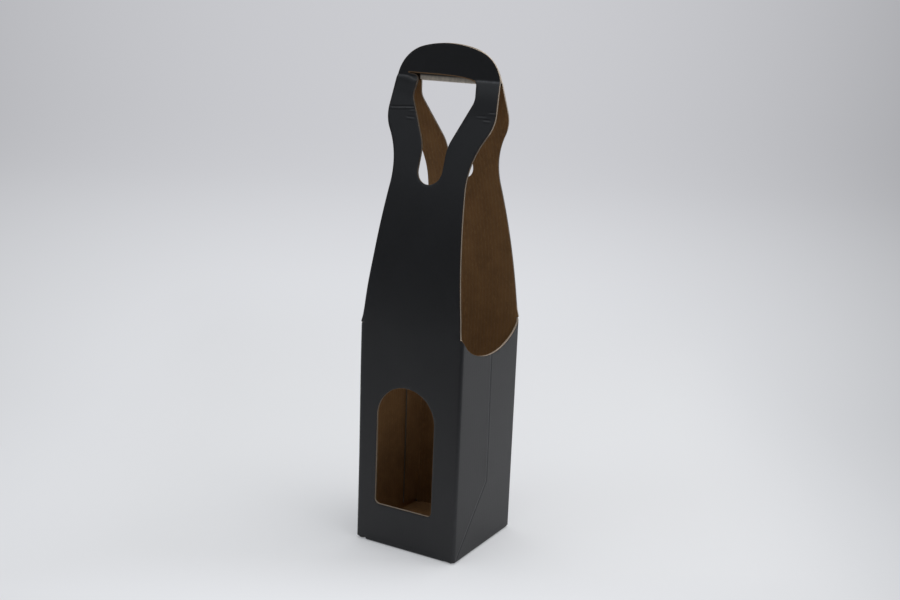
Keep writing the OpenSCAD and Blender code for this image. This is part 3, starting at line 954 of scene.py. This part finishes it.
def inside_material(kit):
    """Raw kraft liner: mottled brown, dark and pale fibres, the flutes as soft stripes."""
    n = Nodes("board_inside")
    place, wear = n.attribute("sheet"), n.split(n.attribute("wear"))
    wave = flute_wave(n, n.split(place)[0], kit.flute_pitch / MM)
    cloud = n.noise(place, 0.06, 4, (1, 0.7, 1))
    fibre = n.noise(place, 0.9, 5, (1, 0.3, 1))
    tone = n.mottle(cloud, kit.inside, 0.1)
    tone = n.mix(n.times(n.ramp(fibre, 0.5, 0.72), 0.5), tone, colour(kit.inside, 1.5))
    flecks = n.ramp(n.noise(place, 1.1, 3, (0.5, 1.3, 1)), 0.62, 0.72)
    tone = n.mix(n.times(flecks, 0.45), tone, colour(kit.inside, 0.5))
    tone = n.mix(n.ramp(wave, 0.2, 1.0), tone, n.mix(0.012, tone, (1, 1, 1, 1)))
    # The inside is darker along folds, scores, creases and dents
    fold_darkening = n.times(n.math("MINIMUM", wear[1], 1.0), 0.25)
    tone = n.mix(fold_darkening, tone, colour(kit.inside, 0.6))
    # Painted shade between the heads: the liner of the back head takes the colour of the black
    # print
    tone = n.mix(n.times(wear[2], 0.9), tone, colour(kit.outside))
    roughness = n.math("MULTIPLY_ADD", fibre, 0.15, 0.72)
    height = n.math("MULTIPLY_ADD", wave, 0.006, n.times(fibre, 0.05))
    return n.finish(tone, roughness, height, 0.15)


def edge_material(kit):
    """Raw cut: a liner along each side, and between them the wavy medium and its hollows.

    The medium lies where the depth is near half the board plus 0.42 of the flute wave.
    """
    n = Nodes("board_edge")
    place = n.attribute("sheet")
    s, _, depth = n.split(place)
    wave = flute_wave(n, s, kit.flute_pitch / MM)
    middle = n.math("MULTIPLY_ADD", wave, 0.42, BOARD / 2)
    medium = n.ramp(n.math("ABSOLUTE", n.math("SUBTRACT", depth, middle)), 0.26, 0.12)
    off = n.math("ABSOLUTE", n.math("SUBTRACT", depth, BOARD / 2))
    liner = n.ramp(off, BOARD / 2 - 0.34, BOARD / 2 - 0.24)
    paper = n.math("MAXIMUM", medium, liner)
    ragged = n.noise(place, 1.6, 4)
    tone = n.mottle(ragged, kit.edge, 0.15)
    tone = n.mix(paper, n.mix(0.45, tone, colour(kit.inside, 0.5)), tone)
    # The raw edge is scaled paler or darker: painted light and painted shade
    pale = n.node("ShaderNodeAttribute", attribute_name="edge_tone").outputs["Fac"]
    tone = n.node("ShaderNodeVectorMath", (tone,), operation="SCALE")
    n.feed(tone.inputs["Scale"], pale)
    tone = tone.outputs[0]
    roughness = n.math("MULTIPLY_ADD", ragged, 0.1, 0.82)
    height = n.math("MULTIPLY_ADD", paper, 0.08, n.times(ragged, 0.05))
    return n.finish(tone, roughness, height, 0.3)


def sweep_material(kit):
    """Pale paper sweep with the faintest mottle.

    Round the carrier it is lit and keeps the shadow. Away from it the camera alone
    sees a plain glow, from the near tone to the far tone, darker to the sides. The
    outlying parts, where the attribute "camera_only" is one, are clear for every other
    ray, so that they throw no light. "backdrop" holds how much of the glow is seen, how
    far it is on to the far tone, and how much of the side tone it takes.
    """
    n = Nodes("paper_sweep")
    place = n.node("ShaderNodeTexCoord").outputs["Object"]
    cloud = n.noise(place, 3.0, 3)
    tone = n.mottle(cloud, kit.sweep, 0.005, 0.2)
    roughness = n.math("MULTIPLY_ADD", cloud, 0.02, 0.9)
    n.finish(tone, roughness, n.times(cloud, 0.01), 0.1)
    away, far, side = n.split(n.attribute("backdrop"))
    glow_tone = n.mix(far, colour(kit.near_tone), colour(kit.far_tone))
    glow_tone = n.mix(side, glow_tone, n.mix(1.0, glow_tone, colour(kit.side_tone), "MULTIPLY"))
    glow = n.node("ShaderNodeEmission", (glow_tone, 1.0)).outputs[0]
    seen = n.node("ShaderNodeLightPath").outputs["Is Camera Ray"]
    lit = n.shader.outputs[0]
    blend = n.node("ShaderNodeMixShader", (n.times(away, seen), lit, glow)).outputs[0]
    aside = n.node("ShaderNodeAttribute", attribute_name="camera_only").outputs["Fac"]
    unseen = n.times(aside, n.math("SUBTRACT", 1.0, seen))
    clear = n.node("ShaderNodeBsdfTransparent").outputs[0]
    blend = n.node("ShaderNodeMixShader", (unseen, blend, clear)).outputs[0]
    n.feed(n.tree.nodes["Material Output"].inputs["Surface"], blend)
    return n.material


# ---------------------------------------------------------------- settings

def length(name, description, default):
    """A length setting, in metres."""
    return FloatProperty(name=name, description=description, default=default, min=0,
                         unit="LENGTH", subtype="DISTANCE")


def power(name, description, default):
    """A setting for the power of a softbox, in watts."""
    return FloatProperty(name=name, description=description, default=default, min=0, unit="POWER")


def tint(name, description, default):
    """A colour setting."""
    return FloatVectorProperty(name=name, description=description, default=default, size=3,
                               min=0, max=1, subtype="COLOR")


class CarrierBoardSettings(PropertyGroup):
    """Sizes and colours of the board."""

    window_x: FloatProperty(name="Window place", default=-0.0027, unit="LENGTH", subtype="DISTANCE",
                            description="Middle of the window across the front")
    window_z: length("Window height", "Height of the lower edge of the window", 0.0358)
    window_half: length("Window half width", "Half its width, and the radius of its arch", 0.027)
    window_side: length("Window side", "Height of the upright sides of the window", 0.0772)
    window_corner: length("Window corner", "Radius of the lower corners of the window", 0.004)
    scoop_depth: length("Scoop depth", "Depth of the scoop in the side walls", 0.021)
    slit: length("Relief slit", "Length of the slit beside the front hand opening", 0.0095)
    belly: length("Belly", "How far the side walls stand out where the score line turns", 0.0010)
    score_depth: length("Score depth", "Depth of the pressed score lines", 0.00035)
    flute_pitch: length("Flute pitch", "Distance between the waves of the medium", 0.0032)
    grid: length("Grid", "Pitch of the grid of points on the blank", 0.0025)
    outside: tint("Outside", "Colour of the black print", (0.0085, 0.0087, 0.0105))
    # Besides stretched print and specks, this grey paints highlights at the creases and dents
    folded: tint("Folded print", "Colour of print that a fold has stretched", (0.105, 0.108, 0.118))
    # The kraft is set a little darker than bare kraft: partly painted shade for the bottle that is
    # left out
    inside: tint("Inside", "Colour of the raw kraft liner", (0.245, 0.135, 0.056))
    edge: tint("Cut edge", "Colour of the raw edges of the board", (0.21, 0.185, 0.155))


class CarrierStageSettings(PropertyGroup):
    """Colours and light of the stage."""

    sweep: tint("Sweep", "Colour of the paper sweep", (0.86, 0.865, 0.88))
    near_tone: tint("Near tone", "Tone of the sweep low in the picture", (0.80, 0.815, 0.845))
    far_tone: tint("Far tone", "Tone of the sweep high in the picture", (0.595, 0.60, 0.63))
    side_tone: tint("Side tone", "What is left of the tone at the sides", (0.70, 0.70, 0.70))
    sky: tint("Fill", "Colour of the even light from all round", (0.92, 0.96, 1.0))
    sky_strength: FloatProperty(name="Fill strength", description="Strength of the even light",
                                default=0.12, min=0)
    top_power: power("Top light", "Power of the softbox overhead", 39)
    side_power: power("Side light", "Power of the softbox on the right", 2.2)
    front_power: power("Front light", "Power of the softbox high in front", 4)


class CARRIER_OT_board(Operator):
    """Build the folded board of the carrier"""

    bl_idname = "carrier.board"
    bl_label = "Folded board"

    def execute(self, context):
        kit = context.scene.carrier_board
        window = window_line(kit.window_x / MM, kit.window_z / MM, kit.window_half / MM,
                             kit.window_side / MM, kit.window_corner / MM)
        loops = [blank_outline(kit.scoop_depth / MM), window, front_grip_line(kit.slit / MM),
                 back_grip_line()]
        bevel = thinned(bevel_points(loops, BEVEL), 0.3)
        points = grid_points(kit.grid / MM)
        points = points[inside(points, loops)]
        points = thinned(points[cut_distance(points, loops) > 2.2 * BEVEL], 0.3)
        mesh = board_mesh("carrier_board", loops, np.concatenate([bevel, points]), kit)
        if len(mesh.polygons) == 0:
            raise RuntimeError("the blank came out empty")
        for make in (outside_material, inside_material, edge_material):
            mesh.materials.append(make(kit))
        piece = bpy.data.objects.new("carrier_board", mesh)
        context.scene.collection.objects.link(piece)
        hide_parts("carrier")
        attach(piece, "root")
        return {"FINISHED"}


# ---------------------------------------------------------------- stage

# The camera was fitted to the photograph: place in millimetres, angles in radians,
# focal length in pixels of a picture 900 pixels wide
CAMERA_PLACE = np.array([509.007, -880.963, 451.026])
CAMERA_YAW = 0.5179
CAMERA_PITCH = 0.2370
CAMERA_ROLL = 0.0405
CAMERA_PIXELS = 1273.19
PHOTO_WIDTH = 900
SENSOR = 36
# How far the camera stands before the carrier, in metres, and half the width of the
# picture at a distance of one
CAMERA_REACH = 1.017
PICTURE_SPREAD = PHOTO_WIDTH / 2 / CAMERA_PIXELS

# The sweep in metres. Its run goes from the carrier along the camera's sight line, its
# side across that, to the right
SWEEP_FRONT = -3.5
SWEEP_BACK = 2.0
SWEEP_RADIUS = 1.6
SWEEP_HEIGHT = 4.0
SWEEP_HALF = 4.0
# Where the glow takes over from the lit sweep: behind, to the sides and in front, with
# the least of it everywhere and the most in front
GLOW_BEHIND = (0.25, 1.0)
GLOW_ASIDE = (0.22, 0.42)
GLOW_FRONT = (-0.04, -0.14)
GLOW_LEAST = 0.3
GLOW_FRONT_MOST = 0.9
# Where only the camera sees the sweep: in front and to the sides
CLEAR_FRONT = (-0.28, -0.36)
CLEAR_ASIDE = (1.7, 1.9)
# From the near to the far tone, over the run plus this share of the rise
FAR_SPAN = (-0.3, 2.8)
FAR_RISE = 1.2
# The side tone grows with the square of the bearing, and the left side has less of it
FALL_LEFT = 0.6
FALL_END = 1.3
FALL_SPAN = (-0.15, 0.4)

# Softboxes: name, setting of the power, place, aim, size and colour
SOFTBOXES = (
    ("top_light", "top_power", (0.35, 0.25, 1.75), (0.1, 0.1, 0.0), 2.6, (1, 1, 1)),
    ("side_light", "side_power", (1.5, 1.1, 0.42), (0.0, 0.0, 0.08), 0.8, (0.95, 0.97, 1.0)),
    ("front_light", "front_power", (-1.0, -1.45, 1.8), (0.0, 0.0, 0.35), 1.0, (0.85, 0.93, 1.0)),
)


def camera_matrix():
    """Placement of the camera: along its yaw, down by its pitch, rolled about its sight line."""
    yaw, pitch, roll = CAMERA_YAW, CAMERA_PITCH, CAMERA_ROLL
    level_ahead = math.cos(pitch) * np.array([-math.sin(yaw), math.cos(yaw), 0])
    ahead = level_ahead - [0, 0, math.sin(pitch)]
    level = np.array([math.cos(yaw), math.sin(yaw), 0])
    up = np.cross(level, ahead)
    right = math.cos(roll) * level + math.sin(roll) * up
    up = math.cos(roll) * up - math.sin(roll) * level
    place = Matrix(np.column_stack([right, up, -ahead]).tolist()).to_4x4()
    place.translation = Vector((CAMERA_PLACE * MM).tolist())
    return place


def sweep_mesh():
    """Paper sweep: the profile floor, quarter arc, wall is carried sideways.

    It rises behind the carrier. The lines across it lie closer near the middle, at the
    half width times t^3.
    """
    turn = np.linspace(0, QUARTER, 49)
    flat = np.arange(SWEEP_FRONT, SWEEP_BACK, 0.04)
    arc_run = SWEEP_BACK + SWEEP_RADIUS * np.sin(turn)
    run = np.concatenate([flat, arc_run, [SWEEP_BACK + SWEEP_RADIUS]])
    arc_rise = SWEEP_RADIUS * (1 - np.cos(turn))
    rise = np.concatenate([np.zeros(len(flat)), arc_rise, [SWEEP_HEIGHT]])
    side = SWEEP_HALF * np.linspace(-1, 1, 81) ** 3
    ahead = np.array([-math.sin(CAMERA_YAW), math.cos(CAMERA_YAW)])
    across = np.array([ahead[1], -ahead[0]])
    rows, cols = len(run), len(side)
    run, side, rise = (grid.ravel() for grid in
                       np.broadcast_arrays(run[:, None], side, rise[:, None]))
    plan = run[:, None] * ahead + side[:, None] * across
    points = np.column_stack([plan, rise])
    bearing_off = side / np.maximum(run + CAMERA_REACH, 0.3) / PICTURE_SPREAD
    away = np.maximum(smooth(*GLOW_BEHIND, run), smooth(*GLOW_ASIDE, np.abs(side)))
    away = np.maximum(GLOW_LEAST + (1 - GLOW_LEAST) * away,
                      GLOW_FRONT_MOST * smooth(*GLOW_FRONT, run))
    aside = np.maximum(smooth(*CLEAR_FRONT, run), smooth(*CLEAR_ASIDE, np.abs(side)))
    far = smooth(*FAR_SPAN, run + FAR_RISE * rise)
    fall = np.where(bearing_off > 0, 1.0, FALL_LEFT)
    fall = fall * np.minimum(np.abs(bearing_off), FALL_END) ** 2
    fall *= 0.45 + 0.3 * smooth(*FALL_SPAN, run) + 0.25 * far
    backdrop = np.stack([away, far, np.minimum(fall, 1.5)], axis=1)
    a = (np.arange(rows - 1)[:, None] * cols + np.arange(cols - 1)).ravel()
    quads = np.stack([a, a + 1, a + cols + 1, a + cols], axis=1)
    mesh = smooth_mesh("paper_sweep", points, quads.tolist())
    hold(mesh, "backdrop", backdrop)
    hold(mesh, "camera_only", aside)
    mesh.update()
    return mesh


def softbox(scene, name, place, aim, size, power, tint_rgb):
    """Square area light at a place, turned to its aim."""
    lamp = bpy.data.lights.new(name, "AREA")
    lamp.size = size
    lamp.energy = power
    lamp.color = tint_rgb
    light = bpy.data.objects.new(name, lamp)
    light.location = place
    light.rotation_euler = (Vector(aim) - Vector(place)).to_track_quat("-Z", "Y").to_euler()
    scene.collection.objects.link(light)


class CARRIER_OT_stage(Operator):
    """Set up the paper sweep, the lights and the camera"""

    bl_idname = "carrier.stage"
    bl_label = "Stage"

    def execute(self, context):
        scene = context.scene
        kit = scene.carrier_stage
        scene.view_settings.view_transform = "Standard"
        camera = bpy.data.cameras.new("camera")
        camera.sensor_width = SENSOR
        camera.lens = CAMERA_PIXELS / PHOTO_WIDTH * SENSOR
        camera.clip_end = 30
        eye = bpy.data.objects.new("camera", camera)
        eye.matrix_world = camera_matrix()
        scene.collection.objects.link(eye)
        scene.camera = eye

        mesh = sweep_mesh()
        mesh.materials.append(sweep_material(kit))
        sweep = bpy.data.objects.new("paper_sweep", mesh)
        scene.collection.objects.link(sweep)

        world = bpy.data.worlds.new("studio")
        scene.world = world
        world.use_nodes = True
        tree = world.node_tree
        sky = tree.nodes["Background"]
        sky.inputs["Color"].default_value = colour(kit.sky)
        sky.inputs["Strength"].default_value = kit.sky_strength
        # Past the ends of the sweep the camera alone sees its far tone
        beyond = tree.nodes.new("ShaderNodeBackground")
        beyond.inputs["Color"].default_value = colour(kit.far_tone)
        blend = tree.nodes.new("ShaderNodeMixShader")
        seen = tree.nodes.new("ShaderNodeLightPath")
        tree.links.new(seen.outputs["Is Camera Ray"], blend.inputs[0])
        tree.links.new(sky.outputs[0], blend.inputs[1])
        tree.links.new(beyond.outputs[0], blend.inputs[2])
        tree.links.new(blend.outputs[0], tree.nodes["World Output"].inputs["Surface"])
        for name, setting, place, aim, size, rgb in SOFTBOXES:
            softbox(scene, name, place, aim, size, getattr(kit, setting), rgb)
        return {"FINISHED"}


class CARRIER_PT_panel(Panel):
    """Lists the settings and the pieces of the carrier"""

    bl_label = "Carrier"
    bl_idname = "CARRIER_PT_panel"
    bl_space_type = "VIEW_3D"
    bl_region_type = "UI"
    bl_category = "Carrier"

    def draw(self, context):
        for kit in (context.scene.carrier_board, context.scene.carrier_stage):
            for prop in kit.__annotations__:
                self.layout.prop(kit, prop)
        for step in STEPS:
            self.layout.operator(step.bl_idname)


STEPS = (CARRIER_OT_board, CARRIER_OT_stage)
CLASSES = (CarrierBoardSettings, CarrierStageSettings, *STEPS, CARRIER_PT_panel)


def register():
    """Makes the classes and the two groups of settings known."""
    for cls in CLASSES:
        bpy.utils.register_class(cls)
    bpy.types.Scene.carrier_board = PointerProperty(type=CarrierBoardSettings)
    bpy.types.Scene.carrier_stage = PointerProperty(type=CarrierStageSettings)


def unregister():
    """Takes them away again."""
    del bpy.types.Scene.carrier_stage
    del bpy.types.Scene.carrier_board
    for cls in reversed(CLASSES):
        bpy.utils.unregister_class(cls)


def main():
    """Builds the board and the stage."""
    register()
    bpy.ops.carrier.board()
    bpy.ops.carrier.stage()


if __name__ == "__main__":
    main()
